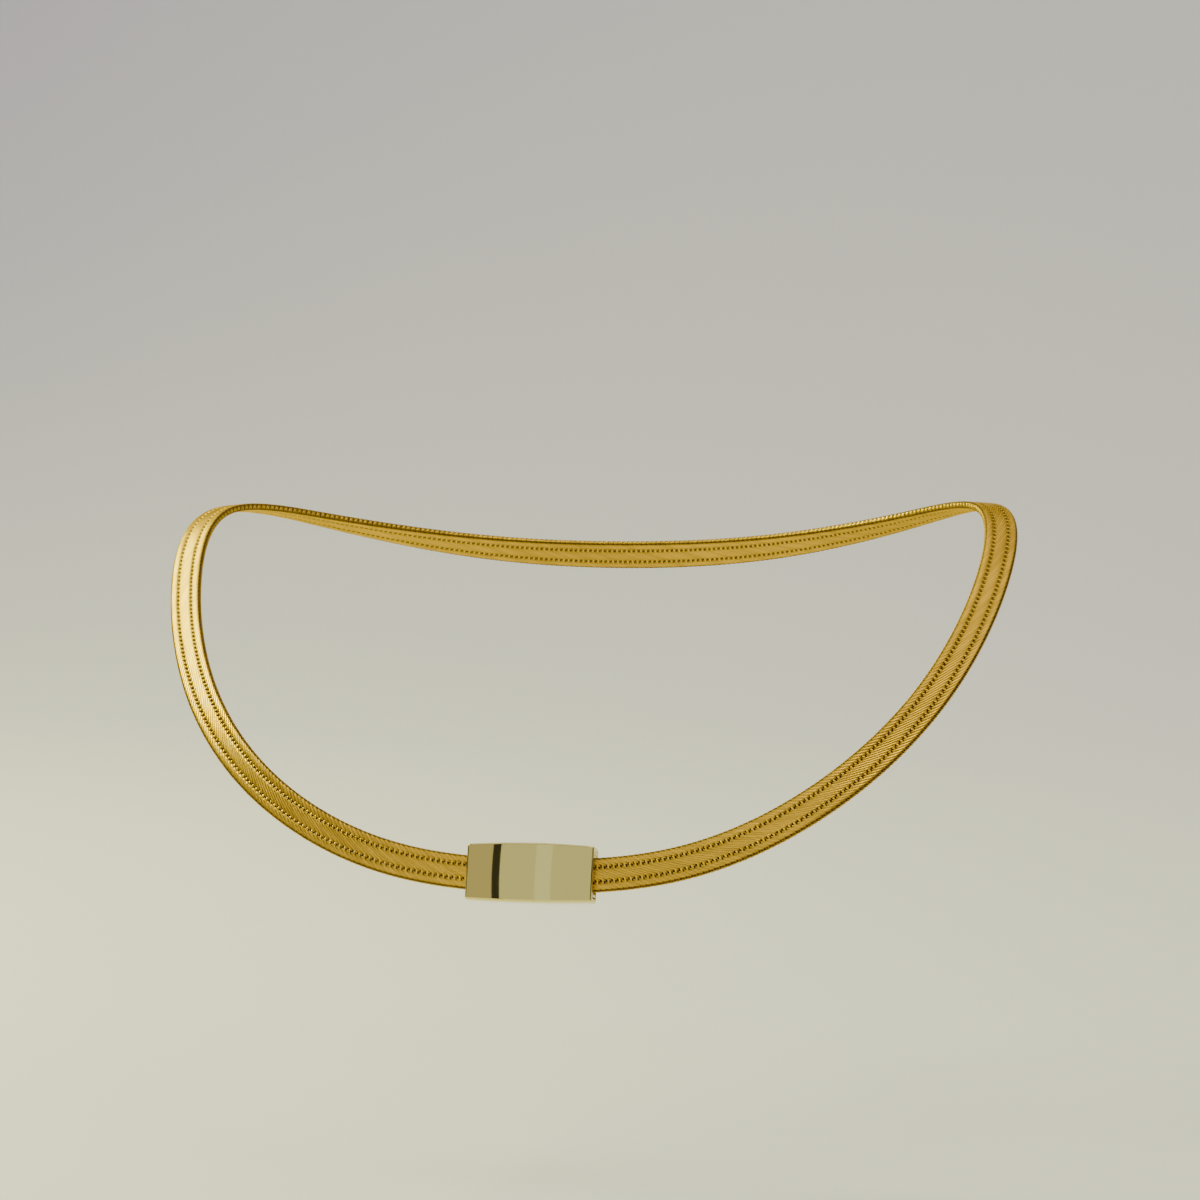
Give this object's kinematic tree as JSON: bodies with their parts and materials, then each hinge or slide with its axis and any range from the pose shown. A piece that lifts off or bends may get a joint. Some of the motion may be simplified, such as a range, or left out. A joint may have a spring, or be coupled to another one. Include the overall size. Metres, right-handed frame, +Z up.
{
  "type": "collar choker necklace",
  "caption": "Flat knitted-wire collar choker with ribbed strips and dotted seams, closed at the front by a polished curved box clasp, kept in its worn shape.",
  "frame": {"origin": "middle of the back of the loop, on the band's inner face where it rests on the nape", "axes": "+Z up, the clasp and the front of the loop towards -Y, +X to the right seen from the front"},
  "size_m": [0.1692, 0.0953, 0.0694],
  "materials": {
    "knitted_gold": "rich yellow gold wire, knitted in fine slanting ribs, bright on the ribs and dark between them",
    "polished_gold": "mirror polished pale yellow gold plate"
  },
  "bodies": {
    "root": {"mesh_band": "knitted_gold", "clasp_box": "polished_gold", "clasp_tongue": "polished_gold"}
  },
  "joints": []
}
